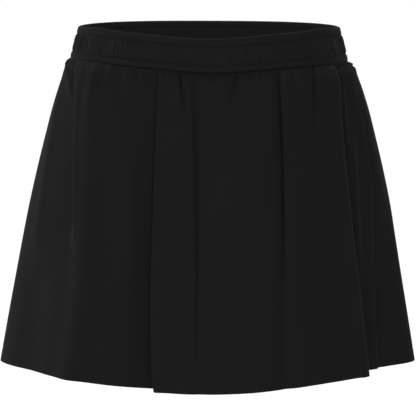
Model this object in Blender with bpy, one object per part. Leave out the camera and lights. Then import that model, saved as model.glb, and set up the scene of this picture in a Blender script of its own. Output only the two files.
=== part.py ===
"""A short pull-on skirt, gathered under a ruched elastic waistband, standing open as if worn.

Metres, +Z up. The origin is the middle of the waistband ring, the front faces -Y, and +X is the
wearer's left. Every level of the cloth is a section: a rounded outline with the folds laid on it.
A place round a section is its turn: 0 at centre front, 1 at the wearer's left side seam, 2 at
centre back, and the same below zero on the right.
"""

from collections import namedtuple

import bpy
import numpy as np

# Driving sizes.
BAND_HEIGHT = 0.0345
BAND_WALL = 0.0028          # two cloths with the elastic between them
CLOTH_WALL = 0.0013
HEM_WALL = 0.0019
HEM_TURN_UP = 0.016         # how deep the hem is
SIDE_LENGTH = 0.3265        # from the waistband to the hem, at a side seam
SEAM_GAP = 0.0003

# How far the waistband and the hem run up and down from their level at the sides.
FRONT_DIP = 0.0055          # of the rim and the seam, at centre front
FRONT_DIP_SPREAD = 0.55     # as a share of the half width
RIM_TILT = 0.0004           # the rim is this much lower at the wearer's left side
SEAM_TILT = 0.0019
SIDE_RISE = 0.0020          # of the rim, just in front of and behind each side
SIDE_RISE_TURN = 0.76
SIDE_RISE_SPREAD = 0.13
HEM_FRONT_DROP = 0.0025     # more at the hem than at the seam
HEM_BACK_DROP = 0.0020

# Counts of what is gathered round the whole waist.
RUCHES = 128
GATHERS = 52

# How finely the surfaces are divided.
PANEL_COLUMNS = 100
BAND_COLUMNS = 2 * RUCHES
OUTLINE_SAMPLES = 1440
RING_SAMPLES = 4000
HEADING_REACH = 0.0015      # how far to each side an outline's direction is taken over
TURN_CLOSENESS = 0.006      # a bend of one radian has as many columns as this much flat cloth
SHARP_CLOTH = np.radians(60)
SHARP_RUCHES = np.radians(24)

# Heights are up from the seam for the waistband, and shares of the way down for the skirt.
# Middle is how far the section's middle lies to the wearer's left. Depths are from the side seams
# to centre front or back. Flat and side say how flat the front or the back is at its middle and
# how full it is at the sides: 2 and 2 on an ellipse, and less at a side that comes to a point.
Section = namedtuple(
    "Section", "at middle half_width front_depth front_flat front_side back_depth back_flat back_side"
)
BAND_SECTIONS = (
    Section(0.0000, 0.0000, 0.1480, 0.1030, 2.0, 1.60, 0.0970, 2.3, 1.9),
    Section(0.0345, 0.0000, 0.1390, 0.0970, 2.0, 1.40, 0.0880, 2.8, 2.0),
)
SKIRT_SECTIONS = (
    Section(0.000, -0.0002, 0.1484, 0.1022, 2.0, 1.60, 0.0962, 2.3, 1.9),
    Section(0.025, 0.0012, 0.1555, 0.1085, 2.0, 1.60, 0.1040, 2.3, 1.9),
    Section(0.065, 0.0022, 0.1604, 0.1135, 2.0, 1.58, 0.1105, 2.3, 1.9),
    Section(0.130, 0.0023, 0.1674, 0.1190, 2.0, 1.55, 0.1180, 2.3, 1.8),
    Section(0.265, 0.0022, 0.1790, 0.1265, 2.0, 1.50, 0.1280, 2.2, 1.7),
    Section(0.465, 0.0017, 0.1941, 0.1340, 2.0, 1.42, 0.1370, 2.1, 1.6),
    Section(0.730, 0.0004, 0.2099, 0.1420, 2.0, 1.34, 0.1455, 2.1, 1.5),
    Section(1.000, -0.0007, 0.2253, 0.1500, 2.0, 1.26, 0.1525, 2.1, 1.5),
)

# Each fold's places across are metres to the wearer's left of the centre line, at these shares
# of the way down.
PLACES_AT = (0.0, 0.20, 0.55, 1.0)

# Folds whose edge lies over the cloth beside it. The edge faces the wearer's left (+1) or right
# (-1). Lift and sink are the crest and the hollow beside it at the hem, over and under are how far
# they reach, and start is their size at the seam as a share of that at the hem. Lap is how far the
# edge lies over the hollow, half way down and at the hem, and hem_soft is how many times wider the
# edge turns at the hem.
EdgeFold = namedtuple(
    "EdgeFold", "side across faces lift sink over under start lap hem_lap hem_soft"
)
EDGE_FOLDS = (
    EdgeFold("front", (-0.1410, -0.1420, -0.1432, -0.1580), -1,
             0.0060, 0.0075, 0.040, 0.040, 0.50, 0.0060, 0.0000, 4.0),
    EdgeFold("front", (-0.0520, -0.0540, -0.0577, -0.0545), -1,
             0.0010, 0.0165, 0.026, 0.040, 0.25, 0.0070, 0.0080, 1.0),
    EdgeFold("front", (-0.0300, -0.0168, -0.0147, -0.0125), 1,
             0.0012, 0.0036, 0.024, 0.022, 0.80, 0.0052, 0.0035, 1.6),
    EdgeFold("front", (0.0712, 0.0756, 0.0764, 0.0775), -1,
             0.0025, 0.0060, 0.024, 0.022, 0.70, 0.0050, 0.0010, 3.0),
    EdgeFold("front", (0.1310, 0.1410, 0.1510, 0.1650), 1,
             0.0010, 0.0250, 0.050, 0.056, 0.20, 0.0085, 0.0100, 1.0),
    EdgeFold("front", (0.1440, 0.1610, 0.1725, 0.1790), 1,
             0.0030, 0.0035, 0.012, 0.014, 0.70, 0.0050, 0.0045, 1.3),
    EdgeFold("back", (0.1180, 0.1300, 0.1440, 0.1520), 1,
             0.0050, 0.0140, 0.040, 0.038, 0.25, 0.0070, 0.0080, 1.0),
    EdgeFold("back", (0.0420, 0.0470, 0.0530, 0.0600), 1,
             0.0040, 0.0090, 0.026, 0.030, 0.40, 0.0065, 0.0050, 1.5),
    EdgeFold("back", (-0.0140, -0.0090, -0.0060, 0.0020), -1,
             0.0050, 0.0060, 0.024, 0.024, 0.40, 0.0055, 0.0040, 1.8),
    EdgeFold("back", (-0.0740, -0.0800, -0.0870, -0.0930), -1,
             0.0050, 0.0100, 0.034, 0.030, 0.30, 0.0065, 0.0065, 1.0),
    EdgeFold("back", (-0.1310, -0.1440, -0.1570, -0.1690), -1,
             0.0040, 0.0120, 0.028, 0.036, 0.30, 0.0070, 0.0060, 1.4),
)

# Soft ridges (height above 0) and troughs (below 0). Top and foot are the shares of the way down
# between which the fold shows, and it fades beyond them.
SoftFold = namedtuple("SoftFold", "side across height spread top foot")
SOFT_FOLDS = (
    SoftFold("front", (-0.1130, -0.0960, -0.0860, -0.0780), 0.0030, 0.016, 0.15, 0.60),
    SoftFold("front", (-0.0420, -0.0400, -0.0440, -0.0480), 0.0020, 0.010, 0.40, 1.00),
    SoftFold("front", (0.0300, 0.0225, 0.0200, 0.0190), -0.0030, 0.006, 0.00, 0.12),
    SoftFold("front", (0.0400, 0.0430, 0.0450, 0.0480), 0.0020, 0.022, 0.30, 1.00),
    SoftFold("front", (0.1060, 0.1080, 0.1100, 0.1120), -0.0030, 0.007, 0.00, 0.22),
    SoftFold("front", (-0.1500, -0.1650, -0.1850, -0.2030), -0.0105, 0.024, 0.60, 1.00),
    SoftFold("front", (0.1440, 0.1680, 0.1900, 0.2050), -0.0060, 0.022, 0.60, 1.00),
    SoftFold("back", (0.0850, 0.0930, 0.0990, 0.1060), 0.0035, 0.014, 0.10, 1.00),
    SoftFold("back", (0.0150, 0.0180, 0.0230, 0.0310), -0.0040, 0.010, 0.00, 0.70),
    SoftFold("back", (-0.0430, -0.0460, -0.0480, -0.0470), -0.0055, 0.010, 0.00, 1.00),
    SoftFold("back", (-0.1080, -0.1160, -0.1260, -0.1330), 0.0030, 0.014, 0.20, 1.00),
)

# The waistband's wall, outside from the rim down and inside back up. Height is up from the seam,
# out is from its outer face, and ruche is the share of the ruches' depth that the row carries.
BandRow = namedtuple("BandRow", "height out ruche")
BAND_ROWS = (
    BandRow(0.0345, -0.0007, 0.0),
    BandRow(0.0335, 0.0000, 0.0),
    BandRow(0.0268, -0.0008, 0.1),
    BandRow(0.0245, -0.0001, 0.8),
    BandRow(0.0170, 0.0001, 1.0),
    BandRow(0.0098, -0.0001, 0.8),
    BandRow(0.0078, -0.0008, 0.1),
    BandRow(0.0000, 0.0003, 0.0),
    BandRow(0.0000, -BAND_WALL, 0.0),
    BandRow(0.0345, -BAND_WALL, 0.0),
)
RUCHE_DEPTH = 0.0009

# Levels of the skirt's wall, as shares of the way down. Two of them lie on either side of the
# step where the hem is turned up.
HEM_STEP = 1 - HEM_TURN_UP / SIDE_LENGTH
SKIRT_LEVELS = (
    0.0, 0.012, 0.034, 0.070, 0.125, 0.205, 0.315, 0.445, 0.585, 0.725, 0.860,
    HEM_STEP - 0.004, HEM_STEP + 0.001, 1.0,
)

# The small gathers under the seam. Reaches are shares of the way down.
GATHER_DEPTH = 0.0031
GATHER_LEAST_REACH = 0.07
GATHER_MOST_REACH = 0.20
GATHER_SEAM_SIZE = 0.45     # where they are sewn in, as a share of their full depth
GATHER_FULL_AT = 0.02       # where they have opened to it

# How the folds turn and fade.
FOLD_GROWTH = 0.8           # power of the share of the way down that a fold grows with
FOLD_FADE = 1.6             # power of the distance from an edge that its crest and hollow fade with
FOLD_EDGE = 0.0042          # half of what a folded edge takes to turn from its crest to its hollow
FOLD_RADIUS = 0.0017        # an edge laps its neighbour only as far as it can turn this roundly
UPRIGHT_LAP = 0.85          # as a share of the turning width, the lap that stands an edge upright
LAP_REACH = 3.2             # how many turning widths away the lap has died out
SOFT_FADE_ABOVE = 0.10
SOFT_FADE_BELOW = 0.16
CLOTH_BEND = 0.0023         # the cloth evens out any bend sharper than about this

# How the wall thins where the cloth turns tightly, so that its inside doesn't cross itself.
MOST_OF_RADIUS = 0.45       # the most of a bend's radius that the wall fills
FLANK_SLOPE = 0.28          # how fast the wall thickens away from such a bend
BEND_REACH = 24             # and over how many samples


def table_at(rows, at):
    """The row at this height or share, worked out smoothly between the table's rows."""
    places = np.array([row.at for row in rows])
    columns = np.array([row[1:] for row in rows])
    if len(rows) == 2:
        part = (at - places[0]) / (places[1] - places[0])
        return Section(at, *(columns[0] * (1 - part) + columns[1] * part))
    slopes = np.gradient(columns, places, axis=0)
    i = int(np.clip(np.searchsorted(places, at) - 1, 0, len(rows) - 2))
    run = places[i + 1] - places[i]
    part = (at - places[i]) / run
    start, end = columns[i], columns[i + 1]
    bend = part * part * (3 - 2 * part)
    lead = part * (1 - part) ** 2
    tail = part * part * (1 - part)
    values = start + (end - start) * bend + run * (slopes[i] * lead - slopes[i + 1] * tail)
    return Section(at, *values)


class Outline:
    """One level's outline without its folds, measured along its length from centre front."""

    def __init__(self, section):
        self.section = section
        angle = np.linspace(-np.pi, np.pi, OUTLINE_SAMPLES + 1)
        front = np.cos(angle) >= 0
        flat = np.where(front, section.front_flat, section.back_flat)
        side = np.where(front, section.front_side, section.back_side)
        depth = np.where(front, section.front_depth, section.back_depth)
        across = np.sign(np.sin(angle)) * np.abs(np.sin(angle)) ** (2 / flat)
        self.x = section.middle + section.half_width * across
        self.y = -depth * np.sign(np.cos(angle)) * np.abs(np.cos(angle)) ** (2 / side)
        steps = np.hypot(np.diff(self.x), np.diff(self.y))
        self.along = np.concatenate([[0.0], np.cumsum(steps)])
        self.along -= self.along[OUTLINE_SAMPLES // 2]
        self.side = self.along[3 * OUTLINE_SAMPLES // 4]
        self.back = self.along[-1]

    def of_turn(self, turn):
        """The length along the outline of a turn, which may run on past centre back."""
        lengths = (-self.back, -self.side, self.side, self.back, 2 * self.back - self.side)
        return np.interp(turn, (-2, -1, 1, 2, 3), lengths)

    def turn_of(self, along):
        return np.interp(along, (-self.back, -self.side, self.side, self.back), (-2, -1, 1, 2))

    def of_x(self, side, x):
        """The length along the front or the back of a place across it."""
        quarter = OUTLINE_SAMPLES // 4
        if side == "front":
            return np.interp(x, self.x[quarter:-quarter], self.along[quarter:-quarter])
        if x >= self.x[0]:
            return np.interp(-x, -self.x[-quarter - 1:], self.along[-quarter - 1:])
        return np.interp(-x, -self.x[:quarter + 1], self.along[:quarter + 1])

    def point(self, along):
        wrapped = (along + self.back) % (2 * self.back) - self.back
        x = np.interp(wrapped, self.along, self.x)
        y = np.interp(wrapped, self.along, self.y)
        return np.stack([x, y], axis=-1)

    def frame(self, along):
        """Points of the outline, with the directions along it and out of it."""
        ahead = self.point(along + HEADING_REACH) - self.point(along - HEADING_REACH)
        tangent = ahead / np.linalg.norm(ahead, axis=-1, keepdims=True)
        normal = np.stack([tangent[..., 1], -tangent[..., 0]], axis=-1)
        return self.point(along), tangent, normal


def shortest(gap, whole):
    """A length round a closed outline, taken the shorter way."""
    return (gap + whole / 2) % whole - whole / 2


def place_across(fold, share):
    """Where a fold runs at this share of the way down, on a curve through its places."""
    across = 0.0
    for i, place in enumerate(fold.across):
        weight = 1.0
        for j, other in enumerate(PLACES_AT):
            if j != i:
                weight *= (share - other) / (PLACES_AT[i] - other)
        across += place * weight
    return across


def uneven(turn, waves, shift):
    """A value between 0 and 1 that wanders round the waist and meets itself at centre back."""
    first = np.sin(waves * np.pi / 2 * turn + shift)
    second = np.sin((2 * waves + 3) * np.pi / 2 * turn + 2.3 * shift)
    return 0.5 + 0.3 * first + 0.2 * second


def gathers(turn, share):
    """How far the small gathers stand out, some of them running further down than others."""
    wander = 0.9 * uneven(turn, 5, 0.7) + 0.8 * uneven(turn, 9, 2.1)
    wave = np.sin(GATHERS * np.pi / 2 * turn + 2 * wander)
    further = uneven(turn, 11, 0.4) ** 2
    reach = GATHER_LEAST_REACH + (GATHER_MOST_REACH - GATHER_LEAST_REACH) * further
    opened = GATHER_SEAM_SIZE + (1 - GATHER_SEAM_SIZE) * min(share / GATHER_FULL_AT, 1)
    size = 0.5 + 0.5 * uneven(turn, 7, 1.9)
    return GATHER_DEPTH * size * opened * np.exp(-((share / reach) ** 1.5)) * wave


def edge_at(fold, share):
    """An edge fold's size, lap and turning width at this share of the way down."""
    size = fold.start + (1 - fold.start) * share ** FOLD_GROWTH
    lower = max(2 * share - 1, 0)
    lap = fold.lap * (1 - lower) + fold.hem_lap * lower
    turning = FOLD_EDGE * (1 + (fold.hem_soft - 1) * lower)
    step = size * (fold.lift + fold.sink)
    most_lap = max(UPRIGHT_LAP * turning, step * step / (8 * FOLD_RADIUS))
    return size, min(lap, most_lap), turning


def soft_growth(fold, share):
    above = np.exp(-((max(fold.top - share, 0) / SOFT_FADE_ABOVE) ** 2))
    below = np.exp(-((max(share - fold.foot, 0) / SOFT_FADE_BELOW) ** 2))
    return above * below


def fading(past, reach):
    return np.exp(-((np.maximum(past, 0) / reach) ** FOLD_FADE))


def folded(outline, share, along):
    """The cloth's outer face at one level: the outline with its folds and gathers."""
    base, tangent, normal = outline.frame(along)
    out = gathers(outline.turn_of(shortest(along, 2 * outline.back)), share)
    slide = np.zeros_like(along)
    for fold in EDGE_FOLDS:
        size, lap, turning = edge_at(fold, share)
        middle = outline.of_x(fold.side, place_across(fold, share))
        faces = fold.faces if fold.side == "front" else -fold.faces
        past = faces * shortest(along - middle, 2 * outline.back)
        turn_over = np.tanh(past / turning)
        crest = fold.lift * (1 - turn_over) / 2 * fading(-past, fold.over)
        hollow = fold.sink * (1 + turn_over) / 2 * fading(past, fold.under)
        out = out + size * (crest - hollow)
        near = np.exp(-((past / (LAP_REACH * turning)) ** 2))
        slide = slide - faces * lap * turn_over * near
    for fold in SOFT_FOLDS:
        middle = outline.of_x(fold.side, place_across(fold, share))
        past = shortest(along - middle, 2 * outline.back) / fold.spread
        out = out + fold.height * soft_growth(fold, share) * np.exp(-past * past)
    return base + normal * out[..., None] + tangent * slide[..., None]


def rounded(values, step):
    """A closed run of values, evened out over the length that the cloth takes to bend."""
    waves = np.fft.fftfreq(len(values), step)
    kept = np.exp(-2 * (np.pi * waves * CLOTH_BEND) ** 2)
    return np.real(np.fft.ifft(np.fft.fft(values) * kept))


class Ring:
    """The whole cloth at one level: its outer face, and where each point of it comes from."""

    def __init__(self, share):
        self.outline = Outline(table_at(SKIRT_SECTIONS, share))
        whole = 2 * self.outline.back
        along = np.linspace(-whole / 2, whole / 2, RING_SAMPLES + 1)
        rough = folded(self.outline, share, along)
        steps = np.hypot(*np.diff(rough, axis=0).T)
        reach = np.concatenate([[0.0], np.cumsum(steps)])
        even = np.linspace(0, reach[-1], RING_SAMPLES, endpoint=False)
        step = reach[-1] / RING_SAMPLES
        x = rounded(np.interp(even, reach, rough[:, 0]), step)
        y = rounded(np.interp(even, reach, rough[:, 1]), step)
        self.along = np.interp(even, reach, along)
        self.points = np.column_stack([x, y])
        ahead = np.roll(self.points, -1, axis=0) - np.roll(self.points, 1, axis=0)
        self.heading = np.unwrap(np.arctan2(ahead[:, 1], ahead[:, 0]))
        bend = np.gradient(self.heading) / step
        room = np.where(bend > 0, MOST_OF_RADIUS / np.maximum(bend, 1), 1)
        for _ in range(BEND_REACH):
            beside = np.minimum(np.roll(room, 1), np.roll(room, -1)) + FLANK_SLOPE * step
            room = np.minimum(room, beside)
        self.room = room
        spacing = step + TURN_CLOSENESS * np.abs(np.diff(self.heading))
        self.columns = np.concatenate([[0.0], np.cumsum(spacing)])

    def span(self, first_turn, last_turn):
        """A panel's stretch of the ring: its places and the column count along it, from 0 to 1."""
        first = self.outline.of_turn(first_turn) + SEAM_GAP / 2
        last = self.outline.of_turn(last_turn) - SEAM_GAP / 2
        whole = 2 * self.outline.back
        twice_along = np.concatenate([self.along, self.along + whole])
        twice_columns = np.concatenate([self.columns, self.columns + self.columns[-1]])
        along = np.linspace(first, last, 4 * PANEL_COLUMNS)
        counts = np.interp(along, twice_along, twice_columns)
        return along, (counts - counts[0]) / (counts[-1] - counts[0])

    def wall(self, along, thick):
        """Points of the outer and inner faces. The wall is thinner inside the tightest bends."""
        wrapped = shortest(along, 2 * self.outline.back)
        outer = [np.interp(wrapped, self.along, self.points[:, i]) for i in (0, 1)]
        heading = np.interp(wrapped, self.along, self.heading)
        depth = np.minimum(thick, np.interp(wrapped, self.along, self.room))
        inner = [outer[0] - depth * np.sin(heading), outer[1] + depth * np.cos(heading)]
        return np.column_stack(outer), np.column_stack(inner)


def front_dip(turn):
    """How far the waist runs down, most of it at centre front."""
    across = np.sin(np.clip(turn, -1, 1) * np.pi / 2)
    return np.where(np.abs(turn) < 1, np.exp(-((across / FRONT_DIP_SPREAD) ** 2)), 0) * FRONT_DIP


def seam_height(turn):
    return -BAND_HEIGHT / 2 - front_dip(turn) - SEAM_TILT * np.sin(turn * np.pi / 2)


def rim_height(turn):
    rise = SIDE_RISE * np.exp(-(((np.abs(turn) - SIDE_RISE_TURN) / SIDE_RISE_SPREAD) ** 2))
    return BAND_HEIGHT / 2 - front_dip(turn) + rise - RIM_TILT * np.sin(turn * np.pi / 2)


def hem_height(turn):
    lower = np.cos(turn * np.pi / 2)
    drop = np.where(np.abs(turn) < 1, HEM_FRONT_DROP, -HEM_BACK_DROP) * lower
    return -BAND_HEIGHT / 2 - SIDE_LENGTH - front_dip(turn) - drop


def edge_counts(ring, share, side, along, counts):
    """The column counts at the middles of a panel's edge folds, in order round it."""
    found = []
    for fold in EDGE_FOLDS:
        if fold.side == side:
            middle = ring.outline.of_x(fold.side, place_across(fold, share))
            middle = along[0] + (middle - along[0]) % (2 * ring.outline.back)
            found.append(np.interp(middle, along, counts))
    return np.sort(np.array(found))


def edge_columns(side, turns):
    """The columns that a panel's folded edges keep from the seam to the hem, as shares of them all."""
    half_way = Ring(0.5)
    along, counts = half_way.span(*turns)
    found = edge_counts(half_way, 0.5, side, along, counts)
    return np.round(found * (PANEL_COLUMNS - 1)) / (PANEL_COLUMNS - 1)


def column_places(ring, share, side, turns, kept):
    """Lengths for a panel's columns: closer at the bends, and following each folded edge down."""
    along, counts = ring.span(*turns)
    edges = edge_counts(ring, share, side, along, counts)
    wanted = np.linspace(0, 1, PANEL_COLUMNS)
    reached = np.interp(wanted, np.concatenate([[0], kept, [1]]), np.concatenate([[0], edges, [1]]))
    return np.interp(reached, counts, along)


def grid_wall(outer, inner, closed):
    """Corners and faces of a wall between two grids of points, rows from the top down."""
    rows, columns = outer.shape[:2]
    points = np.concatenate([outer.reshape(-1, 3), inner.reshape(-1, 3)])
    index = np.arange(2 * rows * columns).reshape(2, rows, columns)
    faces = []
    spans = columns if closed else columns - 1
    for c in range(spans):
        d = (c + 1) % columns
        for r in range(rows - 1):
            faces.append((index[0, r, c], index[0, r + 1, c], index[0, r + 1, d], index[0, r, d]))
            faces.append((index[1, r, c], index[1, r, d], index[1, r + 1, d], index[1, r + 1, c]))
        faces.append((index[0, 0, c], index[0, 0, d], index[1, 0, d], index[1, 0, c]))
        faces.append((index[0, -1, c], index[1, -1, c], index[1, -1, d], index[0, -1, d]))
    if not closed:
        for r in range(rows - 1):
            faces.append((index[0, r, 0], index[1, r, 0], index[1, r + 1, 0], index[0, r + 1, 0]))
            faces.append((index[0, r, -1], index[0, r + 1, -1], index[1, r + 1, -1], index[1, r, -1]))
    return points, [tuple(int(i) for i in face) for face in faces]


def add_object(name, points, faces, sharp_from, material):
    mesh = bpy.data.meshes.new(name)
    mesh.from_pydata([tuple(point) for point in points], [], faces)
    mesh.materials.append(material)
    mesh.shade_smooth()
    mesh.set_sharp_from_angle(angle=sharp_from)
    mesh.update()
    obj = bpy.data.objects.new(name, mesh)
    bpy.context.collection.objects.link(obj)
    return obj


def cloth_material(name, colour, roughness):
    material = bpy.data.materials.new(name)
    material.use_nodes = True
    surface = material.node_tree.nodes["Principled BSDF"]
    surface.inputs["Base Color"].default_value = (*colour, 1)
    surface.inputs["Roughness"].default_value = roughness
    surface.inputs["Metallic"].default_value = 0
    material.diffuse_color = (*colour, 1)
    return material


def skirt_panel(name, side, turns, material):
    """One panel between the side seams, from under the waistband to the turned-up hem."""
    kept = edge_columns(side, turns)
    outer_rows = []
    inner_rows = []
    for share in SKIRT_LEVELS:
        ring = Ring(share)
        along = column_places(ring, share, side, turns, kept)
        thick = HEM_WALL if share > HEM_STEP else CLOTH_WALL
        outer, inner = ring.wall(along, thick)
        turn = ring.outline.turn_of(shortest(along, 2 * ring.outline.back))
        top = seam_height(turn) - SEAM_GAP
        height = top + (hem_height(turn) - top) * share
        outer_rows.append(np.column_stack([outer, height]))
        inner_rows.append(np.column_stack([inner, height]))
    points, faces = grid_wall(np.array(outer_rows), np.array(inner_rows), closed=False)
    return add_object(name, points, faces, SHARP_CLOTH, material)


def waistband(material):
    """The ruched ring: rows of its wall swept round the waist."""
    turn = np.linspace(-2, 2, BAND_COLUMNS, endpoint=False)
    ridge = np.where(np.arange(BAND_COLUMNS) % 2 == 0, 1, -1)
    uneven_ridge = ridge * (0.55 + 0.45 * uneven(turn, 13, 0.9))
    rows = []
    for row in BAND_ROWS:
        outline = Outline(table_at(BAND_SECTIONS, row.height))
        base, _, normal = outline.frame(outline.of_turn(turn))
        out = row.out + RUCHE_DEPTH * row.ruche * uneven_ridge
        seam = seam_height(turn)
        height = seam + (rim_height(turn) - seam) * row.height / BAND_HEIGHT
        rows.append(np.column_stack([base + normal * out[:, None], height]))
    points = np.concatenate(rows)
    faces = []
    for r in range(len(rows)):
        s = (r + 1) % len(rows)
        for c in range(BAND_COLUMNS):
            d = (c + 1) % BAND_COLUMNS
            corners = ((r, c), (s, c), (s, d), (r, d))
            faces.append(tuple(row * BAND_COLUMNS + column for row, column in corners))
    return add_object("waistband", points, faces, SHARP_RUCHES, material)


def clear_scene():
    for obj in list(bpy.data.objects):
        bpy.data.objects.remove(obj, do_unlink=True)


def main():
    clear_scene()
    cloth = cloth_material("black skirt cloth", (0.012, 0.012, 0.013), 0.85)
    band_cloth = cloth_material("black waistband cloth", (0.013, 0.013, 0.014), 0.80)
    skirt_panel("skirt_front", "front", (-1, 1), cloth)
    skirt_panel("skirt_back", "back", (1, 3), cloth)
    waistband(band_cloth)


main()
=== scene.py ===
# A short gathered skirt with a ruched elastic waistband, standing open as if worn.
# Metres, +Z up. The front faces -Y and +X is the wearer's left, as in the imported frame.
# A place round the skirt is its turn: 0 at centre front, 1 at the wearer's left side seam,
# 2 at centre back, and the same below zero on the right.

import math
from collections import namedtuple

import bpy
import numpy as np
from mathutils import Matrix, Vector


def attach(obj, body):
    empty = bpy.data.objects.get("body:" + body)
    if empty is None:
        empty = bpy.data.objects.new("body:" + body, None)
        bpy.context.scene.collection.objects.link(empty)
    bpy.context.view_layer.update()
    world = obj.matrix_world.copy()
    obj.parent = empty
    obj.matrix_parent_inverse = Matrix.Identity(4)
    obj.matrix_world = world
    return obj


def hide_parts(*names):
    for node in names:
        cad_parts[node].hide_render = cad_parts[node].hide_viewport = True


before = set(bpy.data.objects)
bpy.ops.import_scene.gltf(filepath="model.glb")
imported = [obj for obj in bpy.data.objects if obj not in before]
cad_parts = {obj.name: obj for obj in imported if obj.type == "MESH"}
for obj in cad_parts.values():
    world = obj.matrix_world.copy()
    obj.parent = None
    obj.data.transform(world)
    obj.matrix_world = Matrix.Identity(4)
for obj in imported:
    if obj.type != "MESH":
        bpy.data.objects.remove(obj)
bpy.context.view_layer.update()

print("frame loaded:", ", ".join(sorted(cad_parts)))

# Sections go down from the seam as shares of the way to the hem, and up from the seam in metres on
# the waistband. Flat and side say how flat the front or back is at its middle and how full at the
# sides: 2 and 2 on an ellipse, and less at a side that comes to a point.
Section = namedtuple(
    "Section", "at middle halfWidth frontDepth frontFlat frontSide backDepth backFlat backSide"
)
bandSections = (
    Section(0.0000, 0.0000, 0.1480, 0.1030, 2.0, 1.60, 0.0970, 2.3, 1.9),
    Section(0.0345, 0.0000, 0.1390, 0.0970, 2.0, 1.40, 0.0880, 2.8, 2.0),
)
skirtSections = (
    Section(0.000, -0.0002, 0.1484, 0.1022, 2.0, 1.60, 0.0962, 2.3, 1.9),
    Section(0.025, 0.0012, 0.1555, 0.1085, 2.0, 1.60, 0.1040, 2.3, 1.9),
    Section(0.065, 0.0022, 0.1604, 0.1135, 2.0, 1.58, 0.1105, 2.3, 1.9),
    Section(0.130, 0.0023, 0.1674, 0.1190, 2.0, 1.55, 0.1180, 2.3, 1.8),
    Section(0.265, 0.0022, 0.1790, 0.1265, 2.0, 1.50, 0.1280, 2.2, 1.7),
    Section(0.465, 0.0017, 0.1941, 0.1340, 2.0, 1.42, 0.1370, 2.1, 1.6),
    Section(0.730, 0.0004, 0.2099, 0.1420, 2.0, 1.34, 0.1455, 2.1, 1.5),
    Section(1.000, -0.0007, 0.2253, 0.1500, 2.0, 1.26, 0.1525, 2.1, 1.5),
)

waist = {
    "bandHeight": 0.0345,
    "sideLength": 0.3265,       # from the waistband to the hem, at a side seam
    "seamGap": 0.00006,         # between the pieces
    "frontDip": 0.0055,         # of the rim and the seam, at centre front
    "frontDipSpread": 0.55,     # as a share of the half width
    "rimTilt": 0.0004,          # how much lower the rim is at the wearer's left side
    "seamTilt": 0.0019,
    "sideRise": 0.0020,         # of the rim, just in front of each side
    "sideRiseTurn": 0.76,
    "sideRiseSpread": 0.13,
    "hemFrontDrop": 0.0025,     # at the middle, below the sides
    "hemBackDrop": 0.0020,
}

# Folds whose edge lies over the cloth beside it, facing the wearer's left (1) or right (-1). Places
# across are metres from the centre line at the shares in foldPlaces. Lift and sink are the crest and
# the hollow at the hem, over and under how far they reach, start their size at the seam, lap how far
# the edge lies over the hollow half way down, hemLap the same at the hem, and hemSoft how many times
# wider the edge turns there.
foldPlaces = (0.0, 0.20, 0.55, 1.0)
EdgeFold = namedtuple(
    "EdgeFold", "side across faces lift sink over under start lap hemLap hemSoft"
)
frontEdgeFolds = (
    ((-0.1385, -0.1398, -0.1430, -0.1670), -1, 0.0002, 0.00024, 0.030, 0.040, 15.0, 0.0034, 0.0000, 40.0),
    ((-0.0512, -0.0530, -0.0570, -0.0545), -1, 0.0010, 0.0165, 0.026, 0.040, 0.22, 0.0060, 0.0070, 1.0),
    ((-0.0168, -0.0156, -0.0140, -0.0120), 1, 0.0014, 0.0034, 0.020, 0.008, 0.14, 0.0040, 0.0006, 5.0),
    ((0.0725, 0.0765, 0.0785, 0.0825), -1, 0.0025, 0.0046, 0.024, 0.007, 0.66, 0.0040, 0.0010, 5.0),
    ((0.1322, 0.1368, 0.1486, 0.1652), 1, 0.0014, 0.0250, 0.040, 0.056, 0.20, 0.0080, 0.0095, 1.0),
    ((0.1505, 0.1665, 0.1819, 0.1940), 1, 0.0022, 0.0042, 0.014, 0.009, 1.70, 0.0050, 0.0012, 2.2),
)
backEdgeFolds = (
    ((0.1180, 0.1300, 0.1440, 0.1520), 1, 0.0050, 0.0140, 0.040, 0.038, 0.25, 0.0060, 0.0070, 1.4),
    ((0.0420, 0.0470, 0.0530, 0.0600), 1, 0.0040, 0.0090, 0.026, 0.030, 0.40, 0.0055, 0.0040, 2.0),
    ((-0.0140, -0.0090, -0.0060, 0.0020), -1, 0.0050, 0.0060, 0.024, 0.024, 0.40, 0.0045, 0.0030, 3.0),
    ((-0.0740, -0.0800, -0.0870, -0.0930), -1, 0.0050, 0.0100, 0.034, 0.030, 0.30, 0.0055, 0.0055, 1.2),
    ((-0.1310, -0.1440, -0.1570, -0.1690), -1, 0.0040, 0.0120, 0.028, 0.036, 0.30, 0.0060, 0.0050, 2.0),
)
edgeFolds = [EdgeFold("front", *row) for row in frontEdgeFolds]
edgeFolds += [EdgeFold("back", *row) for row in backEdgeFolds]

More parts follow.
